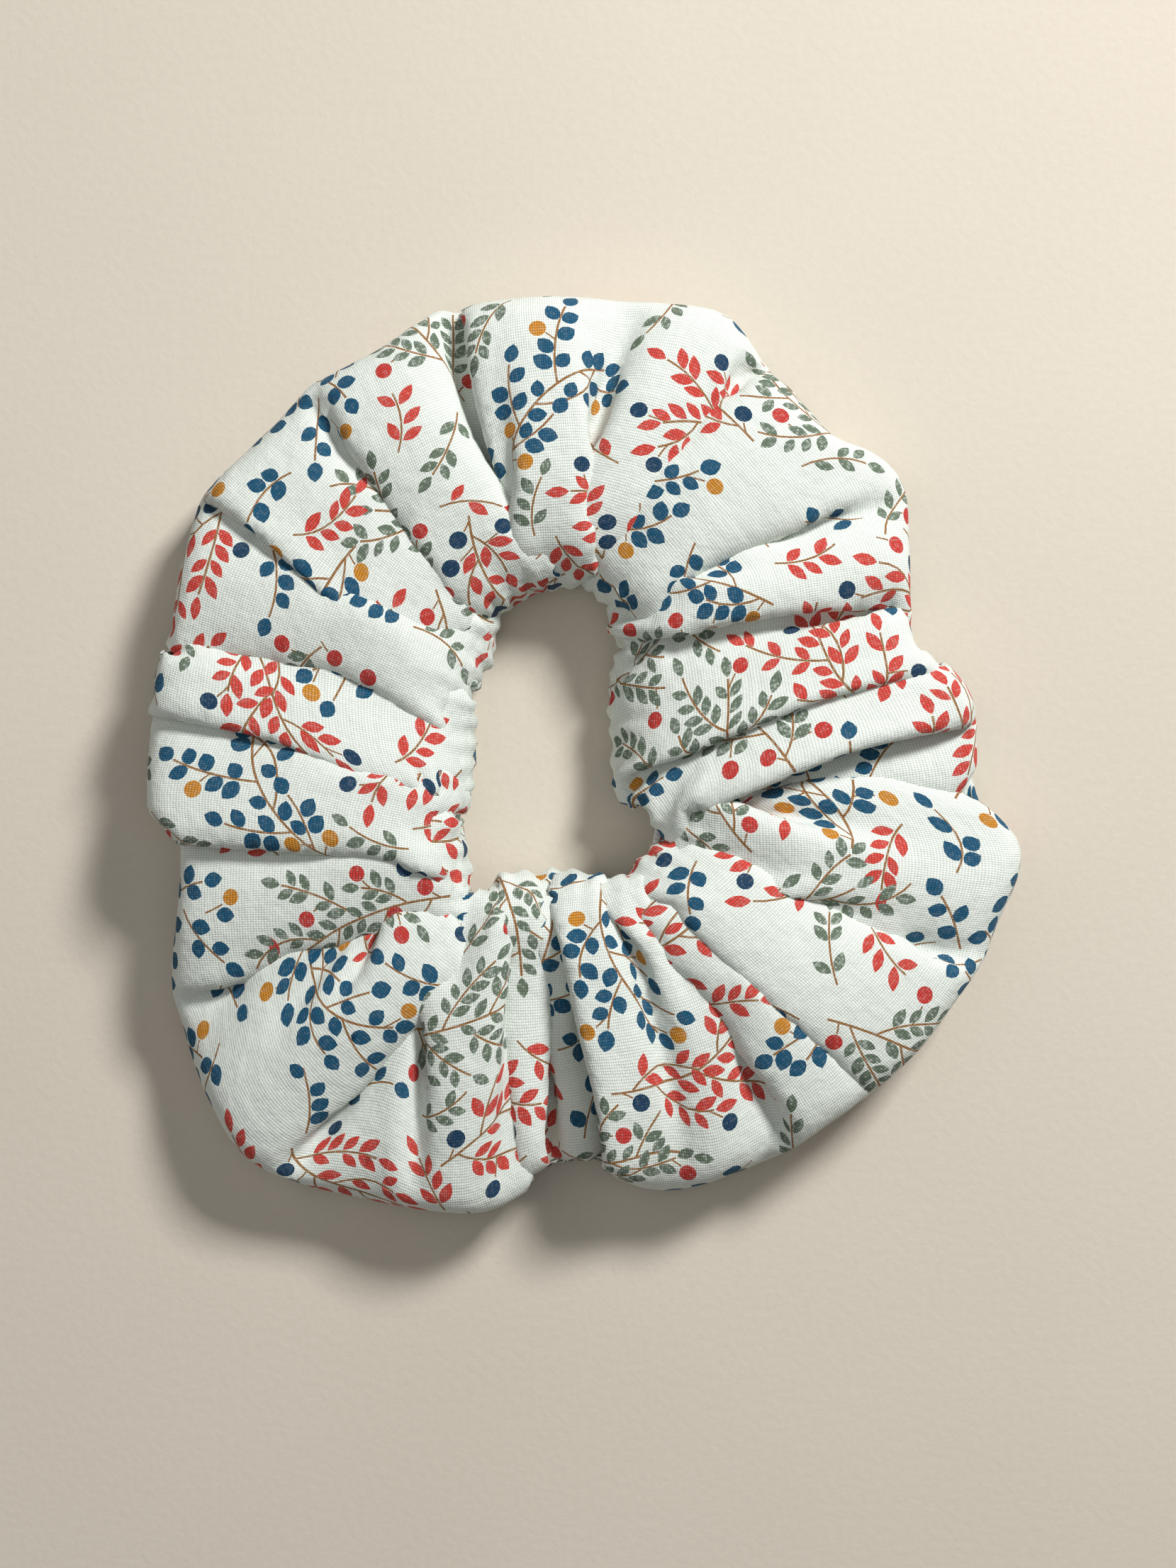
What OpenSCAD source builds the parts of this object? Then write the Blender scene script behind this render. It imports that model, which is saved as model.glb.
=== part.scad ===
// Gathered fabric hair ring (scrunchie) lying flat.
// A printed cotton tube is gathered over a flat elastic ring. The ring pulls
// open along the long axis of its hole (+Y). The cover, the elastic and the
// long seam's thread are each one piece on the real thing; here each is cut
// across the two side arms into slices that slide apart as the ring opens.
// Origin: middle of the resting face. +X right, +Y along the hole, +Z up.

/* [Cover] */
// Thickness of the gathered cotton wall
cover_wall = 1; // [0.8:0.1:1.2]
// Height of the tallest puff above the resting face
puff_height = 23; // [22:0.5:25]
// Height of the middle of the tube, where its two edges lie
edge_height = 8; // [7.5:0.5:9]

/* [Hole] */
// Half the width of the hole in the middle
hole_half_w = 9; // [8:0.5:9]
// Half the length of the hole in the middle
hole_half_l = 19.5; // [18.5:0.5:19.5]

/* [Elastic] */
// Width of the flat braided elastic, standing on edge
elastic_w = 6; // [5:0.5:6]
// Thickness of the elastic
elastic_t = 1; // [0.8:0.1:1]
// Radius of the elastic ring's round ends, to the middle of the band
elastic_r = 17; // [16.5:0.1:17.5]
// Half the length of the elastic ring's straight sides
elastic_straight = 11; // [10.5:0.5:11.5]
// Length of the sewn overlap of the elastic's two ends
lap_len = 10; // [8:0.5:10]

/* [Sewing] */
// Thickness of the sewing thread
thread_d = 0.5; // [0.4:0.05:0.6]
// Distance of the long seam from the outer edge of the tube
seam_inset = 3.2; // [3:0.1:3.6]
// Where the closing seam crosses the left arm
closing_y = 13.6; // [12:0.2:15]

/* [Slices] */
// Clear gap between neighbouring slices
slice_gap = 0.3; // [0.3:0.05:0.5]

/* [Hidden] */

g = slice_gap / 2;
cut = [-12, 3, 18];            // y of the three cuts across the side arms
hole_c = [-6.7, 3.3];          // middle of the hole
ring_c = [-3.5, 2.6];          // point the outer edge is laid out from
sides = 18;                    // points round one section of the tube
step = 5;                      // degrees between sections

// Outer edge: angle, distance from ring_c, share of the puff height there
edge = [
 [0, 58.5, 0.86], [5, 58.7, 0.86], [10, 55.2, 0.80], [14, 51, 0.74], [20, 51.4, 0.78],
 [25, 54.2, 0.84], [33, 58.2, 0.90], [38, 61.7, 0.90], [45, 56.7, 0.80], [50, 57.7, 0.84],
 [60, 60.2, 0.90], [68, 65.4, 0.92], [75, 63.2, 0.90], [85, 62.2, 0.94], [95, 62.2, 0.92],
 [105, 62.5, 0.90], [115, 60.9, 0.93], [125, 60.7, 0.96], [135, 60, 0.92], [143, 61.2, 0.80],
 [150, 60.2, 0.84], [160, 57.2, 0.88], [165, 56.7, 0.88], [175, 57.4, 0.88], [185, 58.2, 0.90],
 [188, 58.9, 0.88], [194, 54.9, 0.76], [200, 56.7, 0.86], [208, 61.7, 0.94], [215, 66.5, 0.98],
 [222, 70, 1], [231, 73.9, 0.96], [240, 71.8, 0.94], [250, 69.4, 0.92], [260, 68.2, 0.90],
 [265, 65, 0.82], [270, 60.5, 0.72], [275, 60.5, 0.74], [279, 65, 0.86], [285, 66.4, 0.92],
 [290, 66.5, 0.90], [300, 65.2, 0.92], [310, 64.7, 0.80], [320, 63.9, 0.90], [330, 66, 0.96],
 [340, 65.7, 0.92], [345, 67.7, 0.90], [349, 66.2, 0.84], [353, 60, 0.76], [360, 58.5, 0.86]];
// Which point of the hole's edge each outer angle gathers to
fan = [[0, 0], [16.3, 50], [40, 66], [90, 90], [140, 114], [163.7, 130], [179.6, 180],
       [194.2, 230], [220, 246], [270, 270], [320, 294], [345.9, 310], [360, 360]];

function fit(a) = a - 360 * floor(a / 360);
function seek(t, a, i = 0) = (i >= len(t) - 2 || a < t[i + 1][0]) ? i : seek(t, a, i + 1);
function ease(k) = k * k * (3 - 2 * k);
function blendrow(t, a, c, i) = let (k = (a - t[i][0]) / (t[i + 1][0] - t[i][0]))
    t[i][c] + (t[i + 1][c] - t[i][c]) * ease(k);
function smooth(t, a, c) = let (b = fit(a)) blendrow(t, b, c, seek(t, b));
function linear(t, a) = let (b = fit(a), i = seek(t, b), k = (b - t[i][0]) / (t[i + 1][0] - t[i][0]))
    t[i][1] + (t[i + 1][1] - t[i][1]) * k;
function spow(x, e) = sign(x) * pow(abs(x), e);

// A section: [inner point, outer point, top height]; y is forced at a cut
function sec(a, y = undef) =
    let (t = linear(fan, a), r = smooth(edge, a, 1),
         p = hole_c + [hole_half_w * spow(cos(t), 0.85), hole_half_l * spow(sin(t), 0.85)],
         q = ring_c + r * [cos(a), sin(a)])
    [[p.x, y == undef ? p.y : y], [q.x, y == undef ? q.y : y], puff_height * smooth(edge, a, 2)];

// Points round a section, o inside the outer skin
function loop(s, o) =
    let (m = (s[0] + s[1]) / 2, h = norm(s[1] - s[0]) / 2 - o, u = (s[1] - s[0]) / norm(s[1] - s[0]),
         up = s[2] - edge_height - o, down = edge_height - o + (o == 0 ? 0.6 : 0))
    [for (j = [0:sides - 1]) let (f = 360 * j / sides, k = -spow(cos(f), 0.85), v = spow(sin(f), 0.7),
         z = edge_height + (v > 0 ? up : down) * v)
        [m.x + u.x * h * k, m.y + u.y * h * k, max(z, 0)]];

// Tube wall between two offsets, along a list of sections
module wall(ss, o1, o2) {
    n = len(ss);
    pts = concat([for (s = ss) each loop(s, o1)], [for (s = ss) each loop(s, o2)]);
    m = n * sides;
    function q(k, i, j) = k * m + i * sides + j % sides;
    faces = concat(
        [for (i = [0:n - 2], j = [0:sides - 1]) each
            [[q(0, i, j), q(0, i, j + 1), q(0, i + 1, j + 1)], [q(0, i, j), q(0, i + 1, j + 1), q(0, i + 1, j)],
             [q(1, i, j), q(1, i + 1, j + 1), q(1, i, j + 1)], [q(1, i, j), q(1, i + 1, j), q(1, i + 1, j + 1)]]],
        [for (j = [0:sides - 1]) each
            [[q(0, 0, j), q(1, 0, j + 1), q(0, 0, j + 1)], [q(0, 0, j), q(1, 0, j), q(1, 0, j + 1)],
             [q(0, n - 1, j), q(0, n - 1, j + 1), q(1, n - 1, j + 1)], [q(0, n - 1, j), q(1, n - 1, j + 1), q(1, n - 1, j)]]]);
    polyhedron(pts, faces);
}

// Sections of a slice from angle a1 (at y1) to angle a2 (at y2)
function run(a1, y1, a2, y2) = let (n = ceil((a2 - a1) / step))
    [for (i = [0:n]) sec(a1 + (a2 - a1) * i / n, i == 0 ? y1 : i == n ? y2 : undef)];
s_lower = run(194.2, cut[0] - g, 345.9, cut[0] - g);
s_mlr = run(345.9, cut[0] + g, 360.2, cut[1] - g);
s_mll = run(179.6, cut[1] - g, 194.2, cut[0] + g);
s_mur = run(0.2, cut[1] + g, 16.3, cut[2] - g);
s_mul = run(163.7, cut[2] - g, 179.6, cut[1] + g);
s_upper = run(16.3, cut[2] + g, 163.7, cut[2] + g);

module cover(ss) { color([0.91, 0.93, 0.90]) wall(ss, 0, cover_wall); }
module cover_lower() { cover(s_lower); }
module cover_mid_lower() { cover(s_mlr); cover(s_mll); }
module cover_mid_upper() { cover(s_mur); cover(s_mul); }
module cover_upper() { cover(s_upper); }

// Long seam: its thread runs just inside the outer edge of the tube
module seam(ss) {
    r = thread_d / 2;
    n = len(ss);
    pts = [for (s = ss) let (u = (s[1] - s[0]) / norm(s[1] - s[0]), p = s[1] - u * seam_inset)
        each [for (f = [[r, 0], [0, r], [-r, 0], [0, -r]]) [p.x + u.x * f[0], p.y + u.y * f[0], edge_height + f[1]]]];
    color([0.93, 0.93, 0.9]) polyhedron(pts, concat([[0, 1, 2, 3]],
        [for (i = [0:n - 2], j = [0:3]) each [[4 * i + j, 4 * i + 4 + j, 4 * i + 4 + (j + 1) % 4],
                                             [4 * i + j, 4 * i + 4 + (j + 1) % 4, 4 * i + (j + 1) % 4]]],
        [[4 * n - 1, 4 * n - 2, 4 * n - 3, 4 * n - 4]]));
}
module long_seam_thread_lower() { seam(s_lower); }
module long_seam_thread_mid_lower() { seam(s_mlr); seam(s_mll); }
module long_seam_thread_mid_upper() { seam(s_mur); seam(s_mul); }
module long_seam_thread_upper() { seam(s_upper); }

// Closing seam: a round of thread inside the left arm
module closing_seam_thread() {
    a = 163.7 + 15.9 * (cut[2] - closing_y) / (cut[2] - cut[1]);
    color([0.93, 0.93, 0.9]) wall([sec(a, closing_y + thread_d / 2), sec(a, closing_y - thread_d / 2)],
        cover_wall + 0.8, cover_wall + 0.8 + thread_d);
}

// Elastic ring: two straight sides and two round ends, standing on edge
module oval(r) {
    for (s = [-1, 1]) translate([0, s * elastic_straight]) circle(r = r, $fn = 96);
    translate([-r, -elastic_straight]) square([2 * r, 2 * elastic_straight]);
}
module elastic(y1, y2) {
    color([0.95, 0.95, 0.93]) translate([hole_c.x, hole_c.y, edge_height - elastic_w / 2])
        linear_extrude(elastic_w) intersection() {
            difference() { oval(elastic_r + elastic_t / 2); oval(elastic_r - elastic_t / 2); }
            translate([-30, y1 - hole_c.y]) square([60, y2 - y1]);
        }
}
module elastic_lower() { elastic(-40, cut[0] - g); }
module elastic_mid_lower() { elastic(cut[0] + g, cut[1] - g); }
module elastic_mid_upper() { elastic(cut[1] + g, cut[2] - g); }
module elastic_upper() { elastic(cut[2] + g, 60); }

// The elastic's second end, lying on the first
lap_x = hole_c.x - elastic_r - elastic_t / 2;
lap_y = hole_c.y + 0.5;
module elastic_lap_end() {
    color([0.95, 0.95, 0.93]) translate([lap_x - elastic_t, lap_y, edge_height - elastic_w / 2])
        cube([elastic_t, lap_len, elastic_w]);
}
// Zigzag that sews the overlap
module elastic_join_stitches() {
    rows = 3; zig = 6; zh = (elastic_w - 1.6) / rows;
    color([0.97, 0.97, 0.97]) for (k = [0:rows - 1], i = [0:zig - 1]) {
        dy = (lap_len - 2) / zig;
        translate([lap_x - elastic_t - 0.3, lap_y + 1 + i * dy + dy / 2,
                   edge_height - elastic_w / 2 + 0.8 + zh * (k + 0.5)])
            rotate([(i % 2 == 0 ? 1 : -1) * atan2(zh * 0.8, dy), 0, 0])
                cube([0.6, norm([dy, zh * 0.8]) + 0.1, 0.3], center = true);
    }
}

cover_lower();
cover_mid_lower();
cover_mid_upper();
cover_upper();
elastic_lower();
elastic_mid_lower();
elastic_mid_upper();
elastic_upper();
elastic_lap_end();
elastic_join_stitches();
long_seam_thread_lower();
long_seam_thread_mid_lower();
long_seam_thread_mid_upper();
long_seam_thread_upper();
closing_seam_thread();
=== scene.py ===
# A gathered cotton scrunchie: a sprigged cotton tube 570 mm long and 116 mm round, drawn up on a 6 mm elastic ring.
# The cloth is laid out from its fold lines, relaxed as cloth over the elastic, and printed with its own sprig repeat.
import bpy, math, time
import numpy as np
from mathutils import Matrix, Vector
from mathutils.geometry import delaunay_2d_cdt


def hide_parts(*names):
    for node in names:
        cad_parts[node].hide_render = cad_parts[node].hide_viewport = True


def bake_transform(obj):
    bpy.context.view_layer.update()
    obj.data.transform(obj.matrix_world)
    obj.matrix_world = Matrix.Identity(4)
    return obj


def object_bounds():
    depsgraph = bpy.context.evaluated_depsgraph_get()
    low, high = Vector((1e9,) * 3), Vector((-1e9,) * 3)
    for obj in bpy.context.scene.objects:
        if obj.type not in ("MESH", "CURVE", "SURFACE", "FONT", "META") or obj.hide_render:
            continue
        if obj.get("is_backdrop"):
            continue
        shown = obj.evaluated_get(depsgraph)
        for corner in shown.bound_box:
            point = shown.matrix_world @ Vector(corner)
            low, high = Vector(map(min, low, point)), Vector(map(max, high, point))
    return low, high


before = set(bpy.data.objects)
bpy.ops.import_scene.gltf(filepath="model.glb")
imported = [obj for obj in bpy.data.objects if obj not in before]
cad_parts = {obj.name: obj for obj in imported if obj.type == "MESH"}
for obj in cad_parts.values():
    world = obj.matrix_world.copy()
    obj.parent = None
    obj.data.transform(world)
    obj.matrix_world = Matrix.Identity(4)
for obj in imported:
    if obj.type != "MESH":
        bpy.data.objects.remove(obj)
cad_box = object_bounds()
T0 = time.time()


def say(*words):
    print("[scrunchie %5.1fs]" % (time.time() - T0), *words, flush=True)


# ---------------------------------------------------------------- camera
HEIGHT = 0.40                 # the camera looks straight down from here
FRAME_W, FRAME_H = 0.1651, 0.2201   # what it takes in, at the height of the cloth
AIM = (0.00015, -0.0038)
cam_data = bpy.data.cameras.new("camera")
cam_data.sensor_fit = "VERTICAL"
cam_data.sensor_height = 24.0
cam_data.lens = 24.0 * (HEIGHT - 0.010) / FRAME_H
cam_data.clip_start = 0.01
cam = bpy.data.objects.new("camera", cam_data)
cam.location = (AIM[0], AIM[1], HEIGHT)
cam.rotation_euler = (0, 0, 0)
bpy.context.scene.collection.objects.link(cam)
bpy.context.scene.camera = cam

# ---------------------------------------------------------------- the cloth's folds, in millimetres
# Each row is one groove between two puffs, anticlockwise from the lower right: its line from the hair opening
# out to the rim (five points), which way the puff beside it leans over it (-1..1), how far that puff covers it
# at the opening, half way and at the rim, how deep it is, 1 if the panel after it is a sunk one, and how freely
# its outer part may wander.
FOLDS = [
    ((10.1, -10.7), (18.1, -7.4), (28.1, -3.6), (41, -2), (54.9, -6.4), 0.3, (0.0, 0.0, 0.0), 4.8, 1, 0),
    ((8.7, -9.8), (17.1, -6.2), (27.1, -1.7), (38, 2.8), (54.5, 5.8), -1, (3.0, 6.0, 4.5), 2.4, 0, 0),
    ((2.2, -5.2), (13.1, 0.8), (24.1, 5.6), (35, 9.6), (49.2, 11.5), -0.6, (3.0, 4.5, 0.0), 1.2, 0, 0),
    ((4, 15.2), (13.1, 18.2), (23.1, 20.5), (34, 20.5), (45.4, 17.2), 0, (0.0, 0.0, 0.0), 4.8, 0, 0.2),
    ((2.2, 19.9), (10.1, 25.2), (20.1, 29.2), (32, 32.1), (45.4, 35.1), 0, (0.0, 0.0, 0.0), 2.4, 0, 0.7),
    ((-1.3, 22.5), (6.2, 32.6), (13.1, 42.6), (19.1, 50.5), (25.6, 54.5), 0, (0.0, 0.0, 0.0), 2.4, 0, 0.8),
    ((-3.3, 23.4), (-1.8, 32.6), (0.2, 41.6), (2.2, 52.5), (4.2, 63.3), 0.2, (0.0, 0.0, 0.0), 1.2, 0, 0.8),
    ((-5.3, 23.9), (-9.3, 32.1), (-12.7, 40.6), (-15.7, 50.5), (-17.7, 62.5), 0.5, (1.5, 1.5, 0.0), 1.2, 0, 0),
    ((-10.5, 22.2), (-18.7, 26.7), (-26.7, 34.6), (-33.6, 42.6), (-40.6, 51), 0.5, (0.0, 0.0, 0.0), 1.2, 0, 0.8),
    ((-12.7, 12.2), (-21.7, 13.2), (-34.6, 22.2), (-43.1, 32.1), (-52.5, 37.6), 1, (7.5, 10.5, 9.0), 9.6, 0, 0),
    ((-13.7, 10.5), (-22.7, 12.3), (-36.6, 13.5), (-49.6, 14.7), (-60.1, 15.3), 0.4, (0.0, 0.0, 0.0), 1.2, 0, 0.3),
    ((-15.9, -8.2), (-22.7, -4.4), (-31.6, -2.2), (-42.6, 5.3), (-60.9, 6.8), 0.9, (4.5, 6.0, 0.0), 1.2, 0, 0),
    ((-16.7, -13.6), (-23.7, -11.6), (-36.6, -9.7), (-49.6, -10), (-61.3, -9.2), 1, (4.5, 7.5, 7.5), 7.2, 0, 0),
    ((-15.7, -16.9), (-23.7, -17.6), (-34.6, -22.1), (-45.6, -28.1), (-56.3, -36), 0.3, (0.0, 0.0, 0.0), 1.2, 0, 0.8),
    ((-13.7, -16.3), (-19.7, -27.1), (-23.2, -36), (-26.2, -46), (-30.6, -61.9), 0, (0.0, 0.0, 0.0), 1.2, 0, 0.8),
    ((-12.2, -15.6), (-12.9, -26.1), (-12.4, -36), (-10.5, -46), (-8.6, -60.9), -0.6, (3.0, 3.0, 1.5), 3.6, 0, 0),
    ((-7.6, -15.3), (-5, -26.1), (-4.6, -36), (-5.6, -46), (-7.1, -56.9), 0.5, (1.5, 1.5, 1.5), 7.2, 1, 0),
    ((-5.3, -15.3), (-2.8, -27.1), (-0.6, -38), (1.7, -47), (3.8, -56.9), -0.8, (3.0, 4.5, 3.0), 7.2, 0, 0),
    ((-0.8, -15.3), (5.4, -25.1), (7.2, -35), (10.6, -46), (14.6, -60.9), 0, (0.0, 0.0, 0.0), 1.2, 0, 0.9),
    ((3.4, -16.7), (12.6, -25.1), (19.1, -33), (24.1, -42), (28.1, -55.4), 0, (0.0, 0.0, 0.0), 1.2, 0, 0.9),
    ((5.7, -13.9), (15.1, -23.1), (24.1, -31), (32, -38), (40.2, -46), -1, (4.5, 9.0, 7.5), 6, 0, 0),
    ((7.7, -12.1), (20.1, -17.6), (32, -23.1), (44, -27.1), (56.9, -27.1), -0.2, (0.0, 0.0, 0.0), 1.2, 0, 0.8),
]
OUTLINE = [(-5.4, 64.7), (4.6, 63.9), (14.4, 63.4), (20.5, 62.8), (23.3, 56.7), (27.7, 52.3), (35.3, 43.6), (39.8, 43.8), (45.3, 40.2), (45.3, 30.3),
           (45.3, 16), (54, 10.5), (54.8, 1.7), (54, -6.6), (61.6, -10.3), (61.8, -14.8), (55.2, -29.1), (47.5, -40.1), (39.8, -47.3), (27.7, -55.5),
           (23.3, -57.7), (17.2, -59.9), (9, -62.5), (5.1, -59.9), (2.9, -56.6), (-6.5, -57.4), (-8.1, -58.8), (-9.3, -62.1), (-14.1, -64.7), (-27.4, -63.2),
           (-38.4, -61), (-48.9, -56.6), (-53.7, -47.8), (-56.5, -40.1), (-58.7, -30.2), (-57.1, -20.3), (-56.5, -10.3), (-61.5, -8.8), (-61.5, 0.6), (-60.4, 12.7),
           (-58.7, 15.5), (-57.1, 24.9), (-54.8, 35.8), (-49.4, 41.3), (-38.4, 52.3), (-29.6, 56.7), (-21.9, 62.3), (-14.1, 63.9)]
OPENING = [(-10.8, 22.6), (-5.4, 23.2), (-1, 21.5), (3, 18.2), (4.6, 14.9), (0.7, 10.5), (-0.1, 0.6), (0.7, -3.8), (5.7, -9.3), (9, -10.3),
           (5.7, -13.7), (4, -17), (-1, -15.3), (-10.8, -15.3), (-15.2, -17), (-17.5, -12.5), (-16.3, -6), (-15.8, 3.9), (-15.2, 11.6), (-10.3, 12.7),
           (-9.8, 18.2)]
MID = np.array([-3.5, 2.6])          # middle of the outline
HOLE_MID = np.array([-6.27, 3.28])   # middle of the opening
TUBE = 116.0                         # once round the cloth tube
SEAM_FOLD = 10                       # the groove in which the closing seam lies
EL_C, EL_R, EL_S = np.array([-6.7, 3.3]), 17.0, 11.0   # the elastic's ring: middle, radius, half its straights
EL_LO, EL_HI, EL_T = 5.0, 11.0, 1.0

# ---------------------------------------------------------------- the cloth's starting shape
def ray_table(poly, c, n=720):
    """distance from c to the outline, for n directions, slightly smoothed"""
    poly = np.array(poly, float)
    th = np.arange(n) * 2 * np.pi / n
    d = np.stack([np.cos(th), np.sin(th)], -1)
    R = np.zeros(n)
    for p, q in zip(poly, np.roll(poly, -1, 0)):
        e, w = q - p, p - c
        den = d[:, 0] * e[1] - d[:, 1] * e[0]
        with np.errstate(all="ignore"):
            t = (w[0] * e[1] - w[1] * e[0]) / den
            s = (w[0] * d[:, 1] - w[1] * d[:, 0]) / den
        ok = (t > 0) & (s >= -1e-6) & (s <= 1 + 1e-6) & np.isfinite(t)
        R = np.where(ok & (t > R), t, R)
    k = np.exp(-0.5 * (np.arange(-8, 9) / 2.6) ** 2)
    k /= k.sum()
    return np.convolve(np.concatenate([R[-8:], R, R[:8]]), k, "valid")


def radial(R, c, xy):
    d = xy - c
    r = np.hypot(d[..., 0], d[..., 1]) + 1e-9
    a = (np.arctan2(d[..., 1], d[..., 0]) / (2 * np.pi) * 720) % 720
    i = a.astype(int) % 720
    f = a - np.floor(a)
    return d, r, R[i] * (1 - f) + R[(i + 1) % 720] * f


R_OUT, R_IN = ray_table(OUTLINE, MID), ray_table(OPENING, HOLE_MID)

_ps = np.linspace(0, 1, 65)


def arch_tables():
    """bent strips of unit length, from straight to tightly arched: across and up"""
    X, N = [], []
    for m in np.linspace(0, 2.25, 91):
        psi = m * np.cos(np.pi * _ps)
        c, s = np.cos(psi), np.sin(psi)
        X.append(np.concatenate([[0], np.cumsum((c[1:] + c[:-1]) / 2) / 64]))
        N.append(np.concatenate([[0], np.cumsum((s[1:] + s[:-1]) / 2) / 64]))
    return np.array(X), np.array(N)


AX, AN = arch_tables()


def arch(ratio, p):
    ends = AX[:, -1]
    r = np.clip(ratio, ends[-1], 1.0)
    k = np.interp(-r, -ends, np.arange(len(ends)))
    k0 = np.clip(k.astype(int), 0, len(ends) - 2)
    f = k - k0
    q = p * 64
    q0 = np.clip(q.astype(int), 0, 63)
    g = q - q0

    def tab(T):
        a = T[k0, q0] * (1 - g) + T[k0, q0 + 1] * g
        b = T[k0 + 1, q0] * (1 - g) + T[k0 + 1, q0 + 1] * g
        return a * (1 - f) + b * f

    e = ends[k0] * (1 - f) + ends[k0 + 1] * f
    return tab(AX) / np.maximum(e, 1e-6), tab(AN)


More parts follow.
